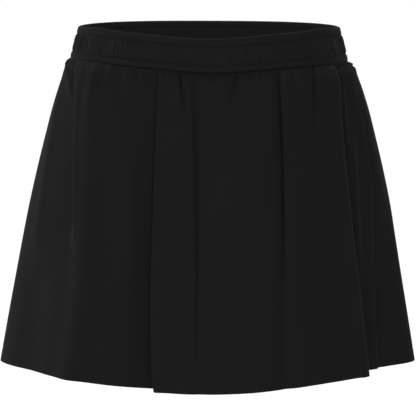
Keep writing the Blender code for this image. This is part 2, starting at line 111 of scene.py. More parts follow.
# Soft ridges (height above 0) and troughs (below 0), showing between the shares top and foot.
SoftFold = namedtuple("SoftFold", "side across height spread top foot")
frontSoftFolds = (
    ((-0.1130, -0.0960, -0.0860, -0.0780), 0.0030, 0.016, 0.15, 0.60),
    ((-0.1352, -0.1364, -0.1400, -0.1495), 0.0015, 0.0042, 0.00, 0.36),
    ((-0.1210, -0.1230, -0.1280, -0.1480), 0.0045, 0.0155, 0.00, 1.00),
    ((-0.1520, -0.1660, -0.1823, -0.2060), 0.0014, 0.0090, 0.15, 0.50),
    ((-0.0830, -0.0825, -0.0815, -0.0800), 0.0016, 0.0070, 0.22, 0.42),
    ((-0.0250, -0.0250, -0.0310, -0.0540), 0.0024, 0.0075, 0.35, 0.90),
    ((-0.0472, -0.0490, -0.0530, -0.0505), 0.0010, 0.0040, 0.00, 1.00),
    ((-0.0552, -0.0570, -0.0606, -0.0580), -0.0016, 0.0030, 0.10, 1.00),
    ((-0.0250, -0.0250, -0.0270, -0.0290), 0.0012, 0.009, 0.20, 0.55),
    ((-0.0210, -0.0196, -0.0172, -0.0150), 0.0006, 0.0028, 0.20, 0.70),
    ((0.0300, 0.0225, 0.0200, 0.0190), -0.0008, 0.006, 0.00, 0.08),
    ((0.0400, 0.0430, 0.0450, 0.0480), 0.0020, 0.022, 0.30, 1.00),
    ((0.1060, 0.1080, 0.1100, 0.1120), -0.0014, 0.007, 0.00, 0.22),
    ((0.1282, 0.1322, 0.1440, 0.1606), 0.0030, 0.0045, 0.02, 1.00),
    ((0.1425, 0.1495, 0.1610, 0.1740), 0.0027, 0.0028, 0.02, 0.22),
    ((0.1450, 0.1540, 0.1650, 0.1800), 0.0036, 0.0060, 0.30, 0.55),
    ((0.1527, 0.1688, 0.1843, 0.1965), -0.0036, 0.0023, 0.14, 0.74),
    ((-0.0125, -0.0128, -0.0128, -0.0110), -0.0014, 0.0020, 0.10, 0.72),
    ((-0.1480, -0.1620, -0.1790, -0.1930), -0.0042, 0.026, 0.76, 1.00),
    ((0.1440, 0.1680, 0.1900, 0.2050), -0.0060, 0.022, 0.60, 1.00),
)
backSoftFolds = (
    ((0.0850, 0.0930, 0.0990, 0.1060), 0.0035, 0.014, 0.10, 1.00),
    ((0.0150, 0.0180, 0.0230, 0.0310), -0.0040, 0.010, 0.00, 0.70),
    ((-0.0430, -0.0460, -0.0480, -0.0470), -0.0055, 0.010, 0.00, 1.00),
    ((-0.1080, -0.1160, -0.1260, -0.1330), 0.0030, 0.014, 0.20, 1.00),
)
softFolds = [SoftFold("front", *row) for row in frontSoftFolds]
softFolds += [SoftFold("back", *row) for row in backSoftFolds]

gathering = {
    "opening": 0.0034,          # how far under the waistband a gather takes to open out
    "openedAtSeam": 0.12,
    "goneBy": 2.5,              # lengths down, where nothing of it is left
    "leanUntil": 1.3,
    "widensUntil": 1.5,
    "widening": 0.5,            # of its spread, for each length down
}

# Gathers that run down from the seam: where they start across, how far they lean by their foot,
# how far down they show, how far they stand out (or in, below 0) and half how wide they are.
Gather = namedtuple("Gather", "side across lean length height spread")
frontGathers = (
    (-0.1540, 0.0068, 0.036, 0.0030, 0.0033),
    (-0.1450, -0.0006, 0.024, -0.0015, 0.0022),
    (-0.1390, -0.0010, 0.030, 0.0010, 0.0021),
    (-0.1298, -0.0036, 0.030, 0.0016, 0.0022),
    (-0.1225, -0.0050, 0.022, -0.0014, 0.0017),
    (-0.1149, -0.0090, 0.042, 0.0018, 0.0025),
    (-0.1085, -0.0045, 0.026, -0.0016, 0.0018),
    (-0.1021, -0.0056, 0.034, 0.0017, 0.0022),
    (-0.0935, -0.0020, 0.018, -0.0011, 0.0019),
    (-0.0851, -0.0034, 0.032, 0.0019, 0.0027),
    (-0.0775, -0.0015, 0.016, -0.0019, 0.0017),
    (-0.0699, -0.0012, 0.024, 0.0019, 0.0024),
    (-0.0592, -0.0015, 0.014, 0.0009, 0.0019),
    (-0.0470, -0.0036, 0.036, 0.0019, 0.0022),
    (-0.0384, -0.0010, 0.016, -0.0009, 0.0017),
    (-0.0305, 0.0056, 0.042, -0.0030, 0.0011),
    (-0.0275, 0.0058, 0.040, 0.0014, 0.0018),
    (-0.0215, 0.0000, 0.046, 0.0017, 0.0021),
    (-0.0151, 0.0010, 0.024, -0.0010, 0.0012),
    (-0.0047, 0.0006, 0.014, 0.0011, 0.0019),
    (0.0040, 0.0004, 0.018, 0.0012, 0.0020),
    (0.0150, 0.0010, 0.034, 0.0017, 0.0027),
    (0.0289, -0.0060, 0.027, -0.0028, 0.0010),
    (0.0378, 0.0004, 0.026, 0.0019, 0.0022),
    (0.0450, 0.0002, 0.012, -0.0016, 0.0013),
    (0.0496, 0.0010, 0.010, 0.0009, 0.0013),
    (0.0540, 0.0010, 0.016, -0.0014, 0.0013),
    (0.0631, 0.0008, 0.024, 0.0016, 0.0028),
    (0.0795, 0.0030, 0.052, 0.0026, 0.0026),
    (0.0845, 0.0030, 0.020, -0.0009, 0.0017),
    (0.0889, 0.0066, 0.038, 0.0028, 0.0024),
    (0.0985, 0.0034, 0.034, -0.0014, 0.0017),
    (0.1090, 0.0004, 0.066, -0.0036, 0.0013),
    (0.1122, 0.0024, 0.036, 0.0024, 0.0022),
    (0.1170, 0.0030, 0.016, -0.0009, 0.0018),
    (0.1200, 0.0040, 0.058, 0.0018, 0.0026),
    (0.1268, 0.0080, 0.044, 0.0024, 0.0024),
    (0.1440, 0.0050, 0.034, -0.0014, 0.0024),
    (0.1500, 0.0066, 0.044, 0.0016, 0.0028),
    (0.1560, 0.0050, 0.034, 0.0034, 0.0044),
)
backGathers = (
    (0.1405, 0.0030, 0.030, 0.0014, 0.0021),
    (0.1300, 0.0045, 0.022, -0.0014, 0.0017),
    (0.1235, 0.0060, 0.040, 0.0022, 0.0024),
    (0.1120, 0.0050, 0.034, 0.0019, 0.0021),
    (0.1060, 0.0020, 0.018, -0.0014, 0.0017),
    (0.0985, 0.0034, 0.044, 0.0020, 0.0027),
    (0.0880, 0.0012, 0.022, -0.0017, 0.0017),
    (0.0800, 0.0028, 0.030, 0.0019, 0.0022),
    (0.0690, 0.0016, 0.018, 0.0011, 0.0019),
    (0.0610, 0.0020, 0.038, -0.0022, 0.0015),
    (0.0535, 0.0012, 0.030, 0.0019, 0.0022),
    (0.0360, 0.0010, 0.024, 0.0016, 0.0021),
    (0.0285, -0.0040, 0.028, -0.0026, 0.0015),
    (0.0210, 0.0006, 0.034, 0.0019, 0.0025),
    (0.0070, 0.0008, 0.016, -0.0011, 0.0017),
    (0.0005, 0.0004, 0.026, 0.0016, 0.0022),
    (-0.0230, -0.0010, 0.036, 0.0019, 0.0024),
    (-0.0310, -0.0012, 0.018, -0.0014, 0.0015),
    (-0.0375, -0.0006, 0.026, 0.0014, 0.0021),
    (-0.0520, -0.0022, 0.040, 0.0020, 0.0025),
    (-0.0610, -0.0018, 0.020, -0.0016, 0.0015),
    (-0.0680, -0.0030, 0.028, 0.0016, 0.0021),
    (-0.0850, -0.0026, 0.034, 0.0019, 0.0022),
    (-0.0925, -0.0024, 0.018, -0.0012, 0.0017),
    (-0.1005, -0.0040, 0.040, 0.0022, 0.0024),
    (-0.1110, -0.0036, 0.026, -0.0017, 0.0017),
    (-0.1190, -0.0050, 0.034, 0.0019, 0.0022),
    (-0.1295, -0.0060, 0.022, 0.0012, 0.0019),
    (-0.1385, -0.0040, 0.026, -0.0014, 0.0017),
)
handGathers = [Gather("front", *row) for row in frontGathers]
handGathers += [Gather("back", *row) for row in backGathers]

foldTurning = {
    "growth": 0.8,              # power of the share of the way down that a fold grows with
    "fade": 1.6,                # power of the distance that its crest and hollow fade with
    "edge": 0.0018,             # half of what a folded edge takes to turn from crest to hollow
    "radius": 0.0009,           # an edge laps its neighbour only as far as it can turn this roundly
    "uprightLap": 0.85,         # as a share of the turning width, the lap that stands an edge upright
    "lapReach": 3.2,            # how many turning widths away the lap has died out
    "softFadeAbove": 0.10,
    "softFadeBelow": 0.16,
    "opening": 0.0034,          # how far under the waistband a fold takes to open out
    "openedAtSeam": 0.15,
    "clothBend": 0.0009,        # the cloth evens out any bend sharper than about this
    "mostOfRadius": 0.45,       # the most of a bend's radius that the wall fills
    "flankSlope": 0.28,         # how fast the wall thickens away from such a bend
    "bendReach": 36,            # and over how many samples
}

samples = {"outline": 1440, "ring": 6000, "headingReach": 0.0015}


def tableAt(rows, at):
    # the row at this height or share, worked out smoothly between the table's rows
    places = np.array([row.at for row in rows])
    columns = np.array([row[1:] for row in rows])
    if len(rows) == 2:
        part = (at - places[0]) / (places[1] - places[0])
        return Section(at, *(columns[0] * (1 - part) + columns[1] * part))
    slopes = np.gradient(columns, places, axis=0)
    i = int(np.clip(np.searchsorted(places, at) - 1, 0, len(rows) - 2))
    run = places[i + 1] - places[i]
    part = (at - places[i]) / run
    start, end = columns[i], columns[i + 1]
    bend = part * part * (3 - 2 * part)
    lead = part * (1 - part) ** 2
    tail = part * part * (1 - part)
    values = start + (end - start) * bend + run * (slopes[i] * lead - slopes[i + 1] * tail)
    return Section(at, *values)


def outlineOf(section):
    # one level's outline without its folds, measured along its length from centre front
    angle = np.linspace(-np.pi, np.pi, samples["outline"] + 1)
    front = np.cos(angle) >= 0
    flat = np.where(front, section.frontFlat, section.backFlat)
    side = np.where(front, section.frontSide, section.backSide)
    depth = np.where(front, section.frontDepth, section.backDepth)
    x = section.middle + section.halfWidth * np.sign(np.sin(angle)) * np.abs(np.sin(angle)) ** (2 / flat)
    y = -depth * np.sign(np.cos(angle)) * np.abs(np.cos(angle)) ** (2 / side)
    along = np.concatenate([[0.0], np.cumsum(np.hypot(np.diff(x), np.diff(y)))])
    along -= along[samples["outline"] // 2]
    return {"x": x, "y": y, "along": along, "side": along[3 * samples["outline"] // 4],
            "back": along[-1], "whole": 2 * along[-1]}


def alongAtTurn(outline, turn):
    back, side = outline["back"], outline["side"]
    return np.interp(turn, (-2, -1, 1, 2, 3), (-back, -side, side, back, 2 * back - side))


def turnAtAlong(outline, along):
    back, side = outline["back"], outline["side"]
    return np.interp(along, (-back, -side, side, back), (-2, -1, 1, 2))


def alongAtX(outline, side, x):
    quarter = samples["outline"] // 4
    across, along = outline["x"], outline["along"]
    if side == "front":
        return np.interp(x, across[quarter:-quarter], along[quarter:-quarter])
    if x >= across[0]:
        return np.interp(-x, -across[-quarter - 1:], along[-quarter - 1:])
    return np.interp(-x, -across[:quarter + 1], along[:quarter + 1])


def pointAt(outline, along):
    wrapped = (along + outline["back"]) % outline["whole"] - outline["back"]
    x = np.interp(wrapped, outline["along"], outline["x"])
    y = np.interp(wrapped, outline["along"], outline["y"])
    return np.stack([x, y], axis=-1)


def frameAt(outline, along):
    # points of the outline, with the directions along it and out of it
    reach = samples["headingReach"]
    ahead = pointAt(outline, along + reach) - pointAt(outline, along - reach)
    tangent = ahead / np.linalg.norm(ahead, axis=-1, keepdims=True)
    normal = np.stack([tangent[..., 1], -tangent[..., 0]], axis=-1)
    return pointAt(outline, along), tangent, normal


def bell(past):
    # 1 at the middle, and next to nothing two widths away
    return np.exp(-(past ** 2))


def shortest(gap, whole):
    return (gap + whole / 2) % whole - whole / 2


def placeAcross(fold, share):
    # on a curve through the fold's places
    across = 0.0
    for i, place in enumerate(fold.across):
        weight = 1.0
        for j, other in enumerate(foldPlaces):
            if j != i:
                weight *= (share - other) / (foldPlaces[i] - other)
        across += place * weight
    return across


def uneven(turn, waves, shift):
    # between 0 and 1, wandering round the waist and meeting itself at centre back
    first = np.sin(waves * np.pi / 2 * turn + shift)
    second = np.sin((2 * waves + 3) * np.pi / 2 * turn + 2.3 * shift)
    return 0.5 + 0.3 * first + 0.2 * second


def gatherRelief(outline, share, along):
    down = share * waist["sideLength"]
    closed = gathering["openedAtSeam"]
    opened = closed + (1 - closed) * min(down / gathering["opening"], 1)
    out = np.zeros_like(along)
    for gather in handGathers:
        part = down / gather.length
        if part > gathering["goneBy"]:
            continue
        across = gather.across + gather.lean * min(part, gathering["leanUntil"])
        past = shortest(along - alongAtX(outline, gather.side, across), outline["whole"])
        size = gather.height * opened * bell(part)
        width = gather.spread * (1 + gathering["widening"] * min(part, gathering["widensUntil"]))
        out += size * bell(past / width)
    return out


def edgeAt(fold, share):
    # an edge fold's size, lap and turning width at this share of the way down
    size = fold.start + (1 - fold.start) * share ** foldTurning["growth"]
    lower = max(2 * share - 1, 0)
    lap = fold.lap * (1 - lower) + fold.hemLap * lower
    turning = foldTurning["edge"] * (1 + (fold.hemSoft - 1) * lower)
    step = size * (fold.lift + fold.sink)
    mostLap = max(foldTurning["uprightLap"] * turning, step * step / (8 * foldTurning["radius"]))
    return size, min(lap, mostLap), turning


def softGrowth(fold, share):
    above = bell(max(fold.top - share, 0) / foldTurning["softFadeAbove"])
    below = bell(max(share - fold.foot, 0) / foldTurning["softFadeBelow"])
    return above * below


def fading(past, reach):
    return np.exp(-((np.maximum(past, 0) / reach) ** foldTurning["fade"]))


def foldedOutline(outline, share, along):
    # the cloth's outer face at one level: the outline with its folds and gathers
    base, tangent, normal = frameAt(outline, along)
    out = gatherRelief(outline, share, along)
    slide = np.zeros_like(along)
    closed = bell(share * waist["sideLength"] / foldTurning["opening"])
    opened = 1 - (1 - foldTurning["openedAtSeam"]) * closed
    for fold in edgeFolds:
        size, lap, turning = edgeAt(fold, share)
        size, lap = size * opened, lap * opened
        middle = alongAtX(outline, fold.side, placeAcross(fold, share))
        faces = fold.faces if fold.side == "front" else -fold.faces
        past = faces * shortest(along - middle, outline["whole"])
        turnOver = np.tanh(past / turning)
        crest = fold.lift * (1 - turnOver) / 2 * fading(-past, fold.over)
        hollow = fold.sink * (1 + turnOver) / 2 * fading(past, fold.under)
        out = out + size * (crest - hollow)
        near = bell(past / (foldTurning["lapReach"] * turning))
        slide = slide - faces * lap * turnOver * near
    for fold in softFolds:
        middle = alongAtX(outline, fold.side, placeAcross(fold, share))
        past = shortest(along - middle, outline["whole"]) / fold.spread
        out = out + fold.height * opened * softGrowth(fold, share) * bell(past)
    return base + normal * out[..., None] + tangent * slide[..., None]


def rounded(values, step):
    # a closed run of values, evened out over the length that the cloth takes to bend
    waves = np.fft.fftfreq(len(values), step)
    kept = np.exp(-2 * (np.pi * waves * foldTurning["clothBend"]) ** 2)
    return np.real(np.fft.ifft(np.fft.fft(values) * kept))


def clothRing(share):
    # the whole cloth at one level: its outer face, and where each point of it comes from
    outline = outlineOf(tableAt(skirtSections, share))
    whole, count = outline["whole"], samples["ring"]
    along = np.linspace(-whole / 2, whole / 2, count + 1)
    rough = foldedOutline(outline, share, along)
    reach = np.concatenate([[0.0], np.cumsum(np.hypot(*np.diff(rough, axis=0).T))])
    even = np.linspace(0, reach[-1], count, endpoint=False)
    step = reach[-1] / count
    x = rounded(np.interp(even, reach, rough[:, 0]), step)
    y = rounded(np.interp(even, reach, rough[:, 1]), step)
    aheadX = np.roll(x, -1) - np.roll(x, 1)
    aheadY = np.roll(y, -1) - np.roll(y, 1)
    heading = np.unwrap(np.arctan2(aheadY, aheadX))
    bend = np.gradient(heading) / step
    room = np.where(bend > 0, foldTurning["mostOfRadius"] / np.maximum(bend, 1), 1)
    for _ in range(foldTurning["bendReach"]):
        beside = np.minimum(np.roll(room, 1), np.roll(room, -1)) + foldTurning["flankSlope"] * step
        room = np.minimum(room, beside)
    spacing = step + panelLook["turnCloseness"] * np.abs(np.diff(heading))
    return {"outline": outline, "share": share, "along": np.interp(even, reach, along),
            "x": x, "y": y, "heading": heading, "room": room,
            "columns": np.concatenate([[0.0], np.cumsum(spacing)])}


def frontDip(turn):
    across = np.sin(np.clip(turn, -1, 1) * np.pi / 2)
    dip = waist["frontDip"] * bell(across / waist["frontDipSpread"])
    return np.where(np.abs(turn) < 1, dip, 0)


def seamHeight(turn):
    return -waist["bandHeight"] / 2 - frontDip(turn) - waist["seamTilt"] * np.sin(turn * np.pi / 2)


def rimHeight(turn):
    fromRise = (np.abs(turn) - waist["sideRiseTurn"]) / waist["sideRiseSpread"]
    rise = waist["sideRise"] * bell(fromRise)
    return waist["bandHeight"] / 2 - frontDip(turn) + rise - waist["rimTilt"] * np.sin(turn * np.pi / 2)


def hemHeight(turn):
    drop = np.where(np.abs(turn) < 1, waist["hemFrontDrop"], -waist["hemBackDrop"])
    return -waist["bandHeight"] / 2 - waist["sideLength"] - frontDip(turn) - drop * np.cos(turn * np.pi / 2)


def clothHeight(turn, share):
    top = seamHeight(turn) - waist["seamGap"]
    return top + (hemHeight(turn) - top) * share


def gridWall(rows, columns, closed):
    # faces of a wall between an outer and an inner grid of points, rows from the top down
    index = np.arange(2 * rows * columns).reshape(2, rows, columns)
    if closed:
        index = np.concatenate([index, index[:, :, :1]], axis=2)
    out, into = index
    quads = [
        np.stack([out[:-1, :-1], out[1:, :-1], out[1:, 1:], out[:-1, 1:]], axis=-1),
        np.stack([into[:-1, :-1], into[:-1, 1:], into[1:, 1:], into[1:, :-1]], axis=-1),
        np.stack([out[0, :-1], out[0, 1:], into[0, 1:], into[0, :-1]], axis=-1),
        np.stack([out[-1, :-1], into[-1, :-1], into[-1, 1:], out[-1, 1:]], axis=-1),
    ]
    if not closed:
        quads.append(np.stack([out[:-1, 0], into[:-1, 0], into[1:, 0], out[1:, 0]], axis=-1))
        quads.append(np.stack([out[:-1, -1], out[1:, -1], into[1:, -1], into[:-1, -1]], axis=-1))
    return np.concatenate([quad.reshape(-1, 4) for quad in quads])


def addObject(name, data):
    made = bpy.data.objects.new(name, data)
    bpy.context.scene.collection.objects.link(made)
    return made


def makePiece(name, points, faces, materials, grain, wrap=0.0, paintedLightRun=(0, 0)):
    # grain holds each point's place on the flat cloth, in metres, wrap how far round it meets itself,
    # and the last argument the run of faces that take the second material, a copy of the cloth painted
    # lighter as painted light
    mesh = bpy.data.meshes.new(name)
    mesh.from_pydata(points.tolist(), [], faces.tolist())
    for material in materials:
        mesh.materials.append(material)
    mesh.shade_smooth()
    for polygon in mesh.polygons[paintedLightRun[0]:paintedLightRun[1]]:
        polygon.material_index = 1
    corners = grain[faces].astype(float)
    if wrap:
        far = corners[:, :, 0].max(axis=1, keepdims=True) - corners[:, :, 0] > wrap / 2
        corners[:, :, 0] += wrap * far
    layer = mesh.uv_layers.new(name="grain")
    layer.uv.foreach_set("vector", corners.reshape(-1).astype(np.float32))
    mesh.update()
    return addObject(name, mesh)


def newMaterial(name):
    material = bpy.data.materials.new(name)
    material.use_nodes = True
    return material, material.node_tree, material.node_tree.nodes["Principled BSDF"]


def mathNode(tree, operation, first, second=None, third=None):
    node = tree.nodes.new("ShaderNodeMath")
    node.operation = operation
    for i, value in enumerate((first, second, third)):
        if value is None:
            continue
        if isinstance(value, (int, float)):
            node.inputs[i].default_value = value
        else:
            tree.links.new(value, node.inputs[i])
    return node.outputs[0]


def noiseNode(tree, vector, scale, detail, stretch):
    mapping = tree.nodes.new("ShaderNodeMapping")
    mapping.inputs["Scale"].default_value = stretch
    tree.links.new(vector, mapping.inputs["Vector"])
    noise = tree.nodes.new("ShaderNodeTexNoise")
    noise.inputs["Scale"].default_value = scale
    noise.inputs["Detail"].default_value = detail
    tree.links.new(mapping.outputs[0], noise.inputs["Vector"])
    return noise.outputs["Fac"]


def addBump(tree, height, surface, look):
    bump = tree.nodes.new("ShaderNodeBump")
    bump.inputs["Strength"].default_value = look["bumpStrength"]
    bump.inputs["Distance"].default_value = look["bumpDepth"]
    tree.links.new(height, bump.inputs["Height"])
    tree.links.new(bump.outputs["Normal"], surface.inputs["Normal"])


def threadRidge(tree, threads):
    wave = mathNode(tree, "SINE", mathNode(tree, "MULTIPLY", threads, math.pi))
    return mathNode(tree, "ABSOLUTE", wave)


def wovenCloth(name, look):
    # plain weave: warp threads ride over weft threads on every other crossing
    material, tree, surface = newMaterial(name)
    place = tree.nodes.new("ShaderNodeUVMap")
    place.uv_map = "grain"
    parts = tree.nodes.new("ShaderNodeSeparateXYZ")
    tree.links.new(place.outputs["UV"], parts.inputs[0])
    warp = mathNode(tree, "MULTIPLY", parts.outputs["X"], 1 / look["thread"])
    weft = mathNode(tree, "MULTIPLY", parts.outputs["Y"], 1 / look["thread"])
    warpRidge, weftRidge = threadRidge(tree, warp), threadRidge(tree, weft)
    parity = mathNode(tree, "ADD", mathNode(tree, "FLOOR", warp), mathNode(tree, "FLOOR", weft))
    over = mathNode(tree, "PINGPONG", parity, 1)
    warpPart = mathNode(tree, "MULTIPLY", warpRidge, over)
    weftPart = mathNode(tree, "MULTIPLY", weftRidge, mathNode(tree, "SUBTRACT", 1, over))
    weave = mathNode(tree, "ADD", warpPart, weftPart)
    slub = noiseNode(tree, place.outputs["UV"], look["slubScale"], 3, (1, look["slubStretch"], 1))
    cloudy = noiseNode(tree, place.outputs["UV"], look["cloudScale"], 2, (1, look["cloudStretch"], 1))
    height = mathNode(tree, "ADD", weave, mathNode(tree, "MULTIPLY", slub, look["slubHeight"]))
    addBump(tree, height, surface, look)

    # colour: painted shade between the threads, darker where the weave is low, with faint slubs and
    # clouding
    darkest = 1 - look["weaveMean"] * look["weaveShade"]
    shade = mathNode(tree, "MULTIPLY_ADD", weave, look["weaveShade"], darkest)
    streak = mathNode(tree, "MULTIPLY_ADD", slub, look["slubShade"], 1 - look["slubShade"] / 2)
    cloud = mathNode(tree, "MULTIPLY_ADD", cloudy, look["cloudShade"], 1 - look["cloudShade"] / 2)
    tone = mathNode(tree, "MULTIPLY", mathNode(tree, "MULTIPLY", shade, streak), cloud)
    tint = tree.nodes.new("ShaderNodeMix")
    tint.data_type = "RGBA"
    tint.blend_type = "MULTIPLY"
    tint.inputs[0].default_value = 1
    tint.inputs[6].default_value = (*look["colour"], 1)
    grey = tree.nodes.new("ShaderNodeCombineColor")
    for i in range(3):
        tree.links.new(tone, grey.inputs[i])
    tree.links.new(grey.outputs[0], tint.inputs[7])
    tree.links.new(tint.outputs[2], surface.inputs["Base Color"])

    rough = mathNode(tree, "MULTIPLY_ADD", slub, look["roughnessRange"], look["roughness"])
    tree.links.new(rough, surface.inputs["Roughness"])
    surface.inputs["Specular IOR Level"].default_value = look["specular"]
    surface.inputs["Sheen Weight"].default_value = look["sheen"]
    surface.inputs["Sheen Roughness"].default_value = look["sheenRoughness"]
    surface.inputs["Sheen Tint"].default_value = (*look["sheenTint"], 1)
    return material


skirtClothLook = {
    "colour": (0.0082, 0.0082, 0.0083),
    "thread": 0.00042,          # from one thread to the next
    "bumpDepth": 0.00009,
    "bumpStrength": 0.55,
    "weaveShade": 0.30,
    "weaveMean": 0.6,           # of the weave's height, so that its shade leaves the colour as it is
    "slubScale": 900,
    "slubStretch": 0.06,        # slubs run down the cloth
    "slubHeight": 0.5,
    "slubShade": 0.22,
    "cloudScale": 22,
    "cloudStretch": 0.6,
    "cloudShade": 0.14,
    "roughness": 0.66,
    "roughnessRange": 0.16,
    "specular": 0.07,
    "sheen": 0.05,
    "sheenRoughness": 0.3,
    "sheenTint": (1.0, 1.0, 1.0),
}
bandClothLook = dict(skirtClothLook, colour=(0.0085, 0.0085, 0.0086), roughness=0.62, cloudScale=34)
# the inside of the band is the same cloth with its colour painted lighter: painted light standing in for
# the light that reaches the inside of the back
bandInsidePaintedLightLook = dict(bandClothLook, colour=(0.0140, 0.0140, 0.0141))


def threadMaterial(look):
    # twisted sewing thread, with its plies across each stitch
    material, tree, surface = newMaterial("black sewing thread")
    place = tree.nodes.new("ShaderNodeTexCoord")
    twist = noiseNode(tree, place.outputs["Object"], look["twistScale"], 2, (1, 1, 1))
    rough = mathNode(tree, "MULTIPLY_ADD", twist, look["roughnessRange"], look["roughness"])
    tree.links.new(rough, surface.inputs["Roughness"])
    ramp = tree.nodes.new("ShaderNodeValToRGB")
    ramp.color_ramp.elements[0].color = (*look["darkPly"], 1)
    ramp.color_ramp.elements[1].color = (*look["lightPly"], 1)
    tree.links.new(twist, ramp.inputs["Fac"])
    tree.links.new(ramp.outputs["Color"], surface.inputs["Base Color"])
    addBump(tree, twist, surface, look)
    surface.inputs["Specular IOR Level"].default_value = look["specular"]
    return material


threadLook = {
    "darkPly": (0.006, 0.006, 0.006),
    "lightPly": (0.018, 0.018, 0.018),
    "twistScale": 2600,
    "bumpDepth": 0.0001,
    "bumpStrength": 0.4,
    "roughness": 0.5,
    "roughnessRange": 0.2,
    "specular": 0.15,
}


panelLook = {
    "columns": 480,
    "turnCloseness": 0.006,     # a bend of one radian has as many columns as this much flat cloth
    "clothWall": 0.0009,
    "hemWall": 0.0015,
    "hemTurnUp": 0.016,
    "rowSpacing": 0.0040,
    "seamTuck": 0.0009,         # how far the cloth turns in under the waistband
    "seamTuckReach": 0.0012,
    "sideSeamTuck": 0.0008,
    "sideSeamReach": 0.0013,
    "puckers": 152,             # small ones round the whole waist, just under the seam
    "puckerWander": 4.0,        # how unevenly they stand, in radians
    "puckerDepth": 0.00050,
    "puckerReach": 0.0085,
    "puckerOpening": 0.0012,
    "hemStitchUp": 0.0140,      # the row of stitches above the hem
    "hemStitchSink": 0.00028,
    "hemStitchReach": 0.0011,
    "hemEdge": 0.0008,          # how round the hem's edge is
    "hemEdgeLevels": (1.0, 0.55, 0.25, 0.08, 0.0),  # as shares of it
    "hemStepLevels": (0.0022, 0.0003, -0.0003),     # over the turned-up hem's top
    "hemStitchLevels": (0.0010, 0.0005, 0.0, -0.0005, -0.0011),
    "hemLevels": (0.0106, 0.0078, 0.0050, 0.0026),  # over the hem's edge
    "seamLevels": (0.0, 0.0005, 0.0011, 0.0019, 0.0029, 0.0042, 0.0060, 0.0082, 0.0108, 0.0139),
}


def fineRelief(ring):
    # what is too small for the folds' own rounding: seams, puckers and the hem's stitched line
    look = panelLook
    outline, share = ring["outline"], ring["share"]
    turn = turnAtAlong(outline, shortest(ring["along"], outline["whole"]))
    down = share * waist["sideLength"]
    up = waist["sideLength"] - down
    tuck = -look["seamTuck"] * bell(down / look["seamTuckReach"])
    wander = 0.8 * uneven(turn, 9, 0.3) + 0.7 * uneven(turn, 17, 1.1)
    wave = np.sin(look["puckers"] * np.pi / 2 * turn + look["puckerWander"] * wander)
    reach = look["puckerReach"] * (0.5 + uneven(turn, 23, 2.2))
    size = look["puckerDepth"] * (0.3 + uneven(turn, 15, 0.8))
    pucker = size * wave * bell(down / reach) * (1 - bell(down / look["puckerOpening"]))
    fromSide = np.minimum(np.abs(shortest(ring["along"] - outline["side"], outline["whole"])),
                          np.abs(shortest(ring["along"] + outline["side"], outline["whole"])))
    sideTuck = -look["sideSeamTuck"] * bell(fromSide / look["sideSeamReach"])
    stitched = -look["hemStitchSink"] * bell((up - look["hemStitchUp"]) / look["hemStitchReach"])
    inset = 0.0
    if up < look["hemEdge"]:
        short = look["hemEdge"] - up
        inset = look["hemEdge"] - math.sqrt(max(look["hemEdge"] ** 2 - short ** 2, 0))
    return tuck + pucker + sideTuck + stitched - inset, inset


def ringWall(ring, along, thick):
    wrapped = shortest(along, ring["outline"]["whole"])
    fine, inset = ring["fine"]
    heading = np.interp(wrapped, ring["along"], ring["heading"])
    out = np.interp(wrapped, ring["along"], fine)
    x = np.interp(wrapped, ring["along"], ring["x"]) + out * np.sin(heading)
    y = np.interp(wrapped, ring["along"], ring["y"]) - out * np.cos(heading)
    depth = np.minimum(thick - 2 * inset, np.interp(wrapped, ring["along"], ring["room"]))
    inner = np.column_stack([x - depth * np.sin(heading), y + depth * np.cos(heading)])
    return np.column_stack([x, y]), inner


def panelSpan(ring, turns):
    # the panel's stretch of the ring: its places and the share of the columns reached at each
    outline, columns = ring["outline"], ring["columns"]
    first = alongAtTurn(outline, turns[0]) + waist["seamGap"] / 2
    last = alongAtTurn(outline, turns[1]) - waist["seamGap"] / 2
    twiceAlong = np.concatenate([ring["along"], ring["along"] + outline["whole"]])
    twiceColumns = np.concatenate([columns, columns + columns[-1]])
    along = np.linspace(first, last, 4 * panelLook["columns"])
    counts = np.interp(along, twiceAlong, twiceColumns)
    return along, (counts - counts[0]) / (counts[-1] - counts[0])


def edgeCounts(ring, side, along, counts):
    found = []
    for fold in edgeFolds:
        if fold.side == side:
            middle = alongAtX(ring["outline"], fold.side, placeAcross(fold, ring["share"]))
            middle = along[0] + (middle - along[0]) % ring["outline"]["whole"]
            found.append(np.interp(middle, along, counts))
    return np.sort(np.array(found))


def columnPlaces(ring, side, turns, kept):
    # closer at the bends, and following each folded edge down
    along, counts = panelSpan(ring, turns)
    edges = edgeCounts(ring, side, along, counts)
    wanted = np.linspace(0, 1, panelLook["columns"])
    reached = np.interp(wanted, np.concatenate([[0], kept, [1]]), np.concatenate([[0], edges, [1]]))
    return np.interp(reached, counts, along)


def clothShares():
    # closer together at the seam, the hem's step, its stitches and its edge
    look = panelLook
    length, nearSeam = waist["sideLength"], list(look["seamLevels"])
    ups = [look["hemTurnUp"] + step for step in look["hemStepLevels"]]
    ups += [look["hemStitchUp"] + step for step in look["hemStitchLevels"]]
    ups += look["hemLevels"]
    ups += [look["hemEdge"] * part for part in look["hemEdgeLevels"]]
    run = length - ups[0] - nearSeam[-1]
    count = round(run / look["rowSpacing"])
    between = [nearSeam[-1] + run * i / count for i in range(1, count)]
    downs = nearSeam + between + [length - up for up in ups]
    return [down / length for down in downs]


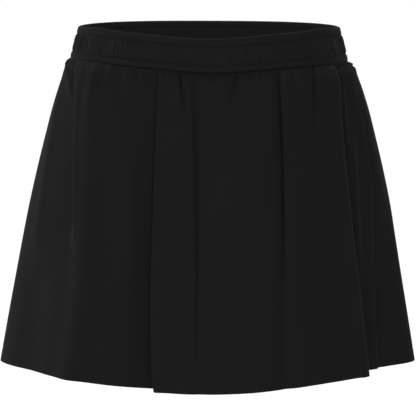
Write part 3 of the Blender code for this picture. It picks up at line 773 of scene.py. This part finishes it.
def skirtPanel(name, side, turns, rings, middleRing, material):
    look = panelLook
    along, counts = panelSpan(middleRing, turns)
    kept = edgeCounts(middleRing, side, along, counts)
    kept = np.round(kept * (look["columns"] - 1)) / (look["columns"] - 1)
    hemStep = 1 - look["hemTurnUp"] / waist["sideLength"]
    outerRows, innerRows, grainRows = [], [], []
    for ring in rings:
        along = columnPlaces(ring, side, turns, kept)
        thick = look["hemWall"] if ring["share"] > hemStep else look["clothWall"]
        outer, inner = ringWall(ring, along, thick)
        turn = turnAtAlong(ring["outline"], shortest(along, ring["outline"]["whole"]))
        height = clothHeight(turn, ring["share"])
        outerRows.append(np.column_stack([outer, height]))
        innerRows.append(np.column_stack([inner, height]))
        across = np.concatenate([[0.0], np.cumsum(np.hypot(*np.diff(outer, axis=0).T))])
        down = np.full_like(across, ring["share"] * waist["sideLength"])
        grainRows.append(np.column_stack([across - across[-1] / 2, down]))
    outer, inner, grain = np.array(outerRows), np.array(innerRows), np.array(grainRows)
    points = np.concatenate([outer.reshape(-1, 3), inner.reshape(-1, 3)])
    flat = np.concatenate([grain.reshape(-1, 2), grain.reshape(-1, 2)])
    return makePiece(name, points, gridWall(*outer.shape[:2], closed=False), [material], flat)


bandLook = {
    "columns": 1408,
    "wall": 0.0028,             # two cloths with the elastic between them
    "upperStitch": 0.0265,      # heights up from the seam
    "lowerStitch": 0.0074,
    "stitchSink": 0.0009,
    "stitchReach": 0.0010,
    "stripPuff": 0.00025,
    "channelPuff": 0.0004,
    "ruches": 128,              # that start at the upper stitches
    "lowerRuches": 116,
    "rucheDepth": 0.0018,
    "rucheMean": 0.6,           # what of a ruche's height counts as level
    "rucheSizes": (0.6, 0.6),   # the least share of the depth, and how much is added unevenly
    "rucheSides": (0.75, 0.35),     # at centre front and back, and how much is added by the sides
    "rucheFullness": 0.45,      # the lower, the sooner a ruche rises from the stitches
    "rucheRoundness": 0.8,
    "rucheMerge": (0.25, 0.75),     # shares of the channel's height between which they merge or fork
    "innerRucheDepth": 0.0009,
    "rippleDepth": 0.00022,     # of the strips beside the ruched channel
    "rippleReach": 0.0045,
    "innerPuff": 0.5,           # shares of what the outer face has
    "innerStitchSink": 0.6,
    "innerFoot": 0.3,
    "rimRound": 0.0013,
    "rimAngles": (30, 60, 80),
    "rimGrain": (0.5, 0.13, 0.0),   # how far down from the rim those levels lie, as shares of its round
    "foot": 0.0007,             # how far the lower edge turns in to the seam
    "footReach": 0.0012,
    "footTop": 0.0022,
    "stitchBed": 0.0016,        # half of what a stitched line's close levels take up
    "levelSteps": (4, 2, 6, 8, 6, 2),
    "flatRound": 0.97,          # how far round the strip was cut, without its gathers
}


def rucheWave(turn, height):
    # ridges that start at the two stitched lines and merge or fork between them
    look = bandLook
    part = (height - look["lowerStitch"]) / (look["upperStitch"] - look["lowerStitch"])
    wander = 1.1 * uneven(turn, 11, 0.9) + 0.9 * uneven(turn, 19, 2.0)
    fromTop = look["ruches"] / 4 * turn + wander
    fromFoot = look["lowerRuches"] / 4 * turn + 1.15 * wander + 0.3
    mergeLow, mergeHigh = look["rucheMerge"]
    topShare = np.clip((part - mergeLow) / (mergeHigh - mergeLow), 0, 1)
    topShare = topShare * topShare * (3 - 2 * topShare)
    topRidge = np.abs(np.cos(np.pi * fromTop)) ** look["rucheRoundness"]
    footRidge = np.abs(np.cos(np.pi * fromFoot)) ** look["rucheRoundness"]
    both = topRidge * topShare + footRidge * (1 - topShare)
    size = look["rucheSizes"][0] + look["rucheSizes"][1] * uneven(turn, 13, 0.9)
    sides = look["rucheSides"][0] + look["rucheSides"][1] * np.abs(np.sin(turn * np.pi / 2)) ** 3
    return (both - look["rucheMean"]) * size * sides


def bandRelief(turn, height, inside):
    look = bandLook
    lower, upper = look["lowerStitch"], look["upperStitch"]
    middle, half = (lower + upper) / 2, (upper - lower) / 2
    within = max(1 - ((height - middle) / half) ** 2, 0)
    depth = look["innerRucheDepth"] if inside else look["rucheDepth"]
    ruche = depth * within ** look["rucheFullness"] * rucheWave(turn, height)
    ripple = look["rippleDepth"] * np.sin(2 * np.pi * (look["ruches"] / 4 * turn + uneven(turn, 11, 0.9)))
    fromStitch = min(abs(height - lower), abs(height - upper))
    beside = ripple * bell(fromStitch / look["rippleReach"]) * (within == 0)
    groove = bell((height - lower) / look["stitchReach"]) + bell((height - upper) / look["stitchReach"])
    puff = look["channelPuff"] * within if within else look["stripPuff"] * (1 - groove)
    foot = look["foot"] * bell(height / look["footReach"])
    sink = look["stitchSink"] * groove
    if inside:
        shallower = look["innerPuff"] * puff - look["innerStitchSink"] * sink - look["innerFoot"] * foot
        return -(ruche + beside + shallower)
    return ruche + beside + puff - sink - foot


def bandPoints(turn, height, out):
    outline = outlineOf(tableAt(bandSections, height))
    base, _, normal = frameAt(outline, alongAtTurn(outline, turn))
    seam = seamHeight(turn)
    z = seam + (rimHeight(turn) - seam) * height / waist["bandHeight"]
    return np.column_stack([base + normal * np.broadcast_to(out, turn.shape)[:, None], z]), normal


def bandLevels():
    # heights of the faces, closer together at the lower edge and at the stitches
    look = bandLook
    stops = [0, look["footTop"]]
    for stitch in (look["lowerStitch"], look["upperStitch"]):
        stops += [stitch - look["stitchBed"], stitch + look["stitchBed"]]
    stops.append(waist["bandHeight"] - look["rimRound"])
    levels = []
    for low, high, steps in zip(stops, stops[1:], look["levelSteps"]):
        levels += list(np.linspace(low, high, steps + 1)[:-1])
    return levels + stops[-1:]


# the inside faces take the copy of the cloth painted lighter, painted light for the inside of the band
def waistbandPiece(material, insidePaintedLight):
    look = bandLook
    turn = np.linspace(-2, 2, look["columns"], endpoint=False)
    top, wall, rim = waist["bandHeight"], look["wall"], look["rimRound"]
    outer, inner, heights = [], [], bandLevels()
    for height in heights:
        outer.append(bandPoints(turn, height, bandRelief(turn, height, False))[0])
        inner.append(bandPoints(turn, height, bandRelief(turn, height, True) - wall)[0])
    for angle in np.radians(look["rimAngles"]):      # the folded rim
        height = top - rim + rim * math.sin(angle)
        inset = rim * (1 - math.cos(angle))
        outer.append(bandPoints(turn, height, look["stripPuff"] - inset)[0])
        inner.append(bandPoints(turn, height, inset - wall)[0])
    outer, inner = np.array(outer[::-1]), np.array(inner[::-1])
    points = np.concatenate([outer.reshape(-1, 3), inner.reshape(-1, 3)])
    across = (turn + 2) / 4 * look["flatRound"]
    heights += [top - rim * part for part in look["rimGrain"]]
    downs = top - np.array(heights[::-1])
    grain = np.stack(np.broadcast_arrays(across[None, :], downs[:, None]), axis=-1).reshape(-1, 2)
    faces = gridWall(*outer.shape[:2], closed=True)
    shown = (len(outer) - 1) * look["columns"]
    return makePiece("waistband_cloth", points, faces, [material, insidePaintedLight],
                     np.concatenate([grain, grain]), wrap=look["flatRound"], paintedLightRun=(shown, 2 * shown))


stitchLook = {
    "length": 0.0026,
    "gap": 0.0007,
    "thick": 0.00034,
    "sides": 6,
    "rise": (-0.9, 0.45, 0.6, 0.45, -0.9),      # of the thread's middle, in its own thicknesses
}


def stitchRow(name, line, normals, material):
    # line is closed: each stitch is a short thread that dips into the cloth at both ends
    look = stitchLook
    closed = np.concatenate([line, line[:1]])
    reach = np.concatenate([[0.0], np.cumsum(np.linalg.norm(np.diff(closed, axis=0), axis=1))])
    closedNormals = np.concatenate([normals, normals[:1]])
    count = int(reach[-1] / (look["length"] + look["gap"]))
    points, faces = [], []
    sides, knots = look["sides"], len(look["rise"])
    around = np.linspace(0, 2 * np.pi, sides, endpoint=False)
    for i in range(count):
        start = reach[-1] * i / count
        ats = start + np.linspace(0, look["length"], knots)
        middle = np.column_stack([np.interp(ats, reach, closed[:, k]) for k in range(3)])
        out = np.column_stack([np.interp(ats, reach, closedNormals[:, k]) for k in range(3)])
        out /= np.linalg.norm(out, axis=1, keepdims=True)
        ahead = np.gradient(middle, axis=0)
        ahead /= np.linalg.norm(ahead, axis=1, keepdims=True)
        across = np.cross(ahead, out)
        middle += out * (np.array(look["rise"]) * look["thick"])[:, None]
        first = len(points)
        for k in range(knots):
            ring = np.outer(np.cos(around), out[k]) + np.outer(np.sin(around), across[k])
            points.extend(middle[k] + ring * look["thick"] / 2)
        for k in range(knots - 1):
            for s in range(sides):
                a, b = first + k * sides + s, first + k * sides + (s + 1) % sides
                faces.append((a, b, b + sides, a + sides))
        faces.append(tuple(first + s for s in range(sides))[::-1])
        faces.append(tuple(first + (knots - 1) * sides + s for s in range(sides)))
    mesh = bpy.data.meshes.new(name)
    mesh.from_pydata([tuple(point) for point in points], [], faces)
    mesh.materials.append(material)
    mesh.shade_smooth()
    mesh.update()
    print(f"{name}: {count} stitches")
    return addObject(name, mesh)


def bandStitches(name, height, inside, material):
    turn = np.linspace(-2, 2, 2 * bandLook["columns"], endpoint=False)
    relief = bandRelief(turn, height, inside)
    line, normal = bandPoints(turn, height, relief - bandLook["wall"] if inside else relief)
    outward = np.column_stack([-normal if inside else normal, np.zeros(len(turn))])
    return stitchRow(name, line, outward, material)


def hemStitches(name, material):
    ring = clothRing(1 - panelLook["hemStitchUp"] / waist["sideLength"])
    ring["fine"] = fineRelief(ring)
    outer, _ = ringWall(ring, ring["along"], panelLook["hemWall"])
    turn = turnAtAlong(ring["outline"], shortest(ring["along"], ring["outline"]["whole"]))
    line = np.column_stack([outer, clothHeight(turn, ring["share"])])
    outward = np.column_stack([np.sin(ring["heading"]), -np.cos(ring["heading"]), np.zeros(len(turn))])
    return stitchRow(name, line, outward, material)


skirtCloth = wovenCloth("black skirt cloth", skirtClothLook)
bandCloth = wovenCloth("black waistband cloth", bandClothLook)
# painted light: the band's own cloth, painted lighter for its inside
bandInsidePaintedLight = wovenCloth("waistband inner cloth painted lighter", bandInsidePaintedLightLook)
thread = threadMaterial(threadLook)

rings = [clothRing(share) for share in clothShares()]
for ring in rings:
    ring["fine"] = fineRelief(ring)
middleRing = clothRing(0.5)
print("levels of cloth worked out:", len(rings))

skirtFront = skirtPanel("skirt_front_cloth", "front", (-1, 1), rings, middleRing, skirtCloth)
skirtBack = skirtPanel("skirt_back_cloth", "back", (1, 3), rings, middleRing, skirtCloth)
waistband = waistbandPiece(bandCloth, bandInsidePaintedLight)
clothPieces = (skirtFront, skirtBack, waistband)
print("cloth made:", [len(piece.data.polygons) for piece in clothPieces], "faces")

upperStitches = bandStitches("waistband_upper_stitches", bandLook["upperStitch"], False, thread)
lowerStitches = bandStitches("waistband_lower_stitches", bandLook["lowerStitch"], False, thread)
insideStitches = bandStitches("waistband_inside_stitches", bandLook["upperStitch"], True, thread)
hemRow = hemStitches("hem_stitches", thread)

for piece in (*clothPieces, upperStitches, lowerStitches, insideStitches, hemRow):
    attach(piece, "root")
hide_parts("skirt_front")
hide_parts("skirt_back")
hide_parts("waistband")

print("pieces ride on the frame")


studio = {
    "floorHeight": -1.02,       # a wearer's waist is about this far above the floor
    "floorSize": 60.0,
    "floorColour": (0.90, 0.90, 0.90),
    "floorRoughness": 0.9,
    "floorSpecular": 0.2,
    "seenWhite": 1.16,          # how bright the room and the floor look
    "floorSeenWhite": 0.86,     # the share of that in the floor's look, beside its own shade
    "fillLevel": 0.24,          # how much the room itself lights the cloth
}

# Level is the light that a facing white card would send back, on the scale of fillLevel.
SoftLight = namedtuple("SoftLight", "name place aim width height level")
softLights = (
    SoftLight("front softbox", (0, -3.0, 1.15), (0, 0, -0.17), 2.2, 1.4, 0.38),
    SoftLight("left softbox", (-2.3, -1.7, 0.45), (0, 0, -0.17), 0.9, 1.6, 0.25),
    SoftLight("left strip", (-2.5, 1.0, 0.10), (0, 0, -0.17), 0.8, 2.2, 0.22),
    SoftLight("right softbox", (2.4, -1.4, 0.45), (0, 0, -0.17), 1.2, 1.6, 0.19),
    SoftLight("overhead strip", (0, 0.8, 2.5), (0, 0, 0), 1.6, 0.6, 0.55),
)


def mixSeen(tree, lit, seen, output, share):
    # what is seen straight on differs from what lights the cloth
    ray = tree.nodes.new("ShaderNodeLightPath")
    mix = tree.nodes.new("ShaderNodeMixShader")
    tree.links.new(mathNode(tree, "MULTIPLY", ray.outputs["Is Camera Ray"], share), mix.inputs[0])
    tree.links.new(lit, mix.inputs[1])
    tree.links.new(seen, mix.inputs[2])
    tree.links.new(mix.outputs[0], output.inputs["Surface"])


def makeFloor():
    half = studio["floorSize"] / 2
    z = studio["floorHeight"]
    mesh = bpy.data.meshes.new("floor")
    corners = [(-half, -half, z), (half, -half, z), (half, half, z), (-half, half, z)]
    mesh.from_pydata(corners, [], [(0, 1, 2, 3)])
    material, tree, surface = newMaterial("pale floor")
    surface.inputs["Base Color"].default_value = (*studio["floorColour"], 1)
    surface.inputs["Roughness"].default_value = studio["floorRoughness"]
    surface.inputs["Specular IOR Level"].default_value = studio["floorSpecular"]
    seen = tree.nodes.new("ShaderNodeEmission")
    seen.inputs["Strength"].default_value = studio["seenWhite"]
    output = tree.nodes["Material Output"]
    mixSeen(tree, surface.outputs[0], seen.outputs[0], output, studio["floorSeenWhite"])
    mesh.materials.append(material)
    addObject("floor", mesh)


def makeRoomLight():
    world = bpy.data.worlds.new("white room")
    bpy.context.scene.world = world
    world.use_nodes = True
    tree = world.node_tree
    room = tree.nodes["Background"]
    room.inputs["Strength"].default_value = studio["fillLevel"]
    seen = tree.nodes.new("ShaderNodeBackground")
    seen.inputs["Strength"].default_value = studio["seenWhite"]
    for background in (room, seen):
        background.inputs["Color"].default_value = (1, 1, 1, 1)
    mixSeen(tree, room.outputs[0], seen.outputs[0], tree.nodes["World Output"], 1)


def makeSoftLight(row):
    towards = Vector(row.aim) - Vector(row.place)
    light = bpy.data.lights.new(row.name, "AREA")
    light.shape = "RECTANGLE"
    light.size = row.width
    light.size_y = row.height
    light.energy = row.level * (math.pi * towards.length) ** 2
    lamp = addObject(row.name, light)
    lamp.location = row.place
    lamp.rotation_euler = towards.to_track_quat("-Z", "Y").to_euler()


cameraLook = {
    "place": (0, -3.2, 0.2585),
    "aim": (0, 0, -0.1775),
    "sensor": 36.0,
    "lens": 260.5,
    "shiftX": -0.0026,
}


def makeCamera():
    camera = bpy.data.cameras.new("camera")
    camera.sensor_width = cameraLook["sensor"]
    camera.lens = cameraLook["lens"]
    camera.shift_x = cameraLook["shiftX"]
    holder = addObject("camera", camera)
    holder.location = cameraLook["place"]
    view = Vector(cameraLook["aim"]) - Vector(cameraLook["place"])
    holder.rotation_euler = view.to_track_quat("-Z", "Y").to_euler()
    bpy.context.scene.camera = holder


makeFloor()
makeRoomLight()
for row in softLights:
    makeSoftLight(row)
makeCamera()
bpy.context.scene.view_settings.view_transform = "Standard"
print("studio made")
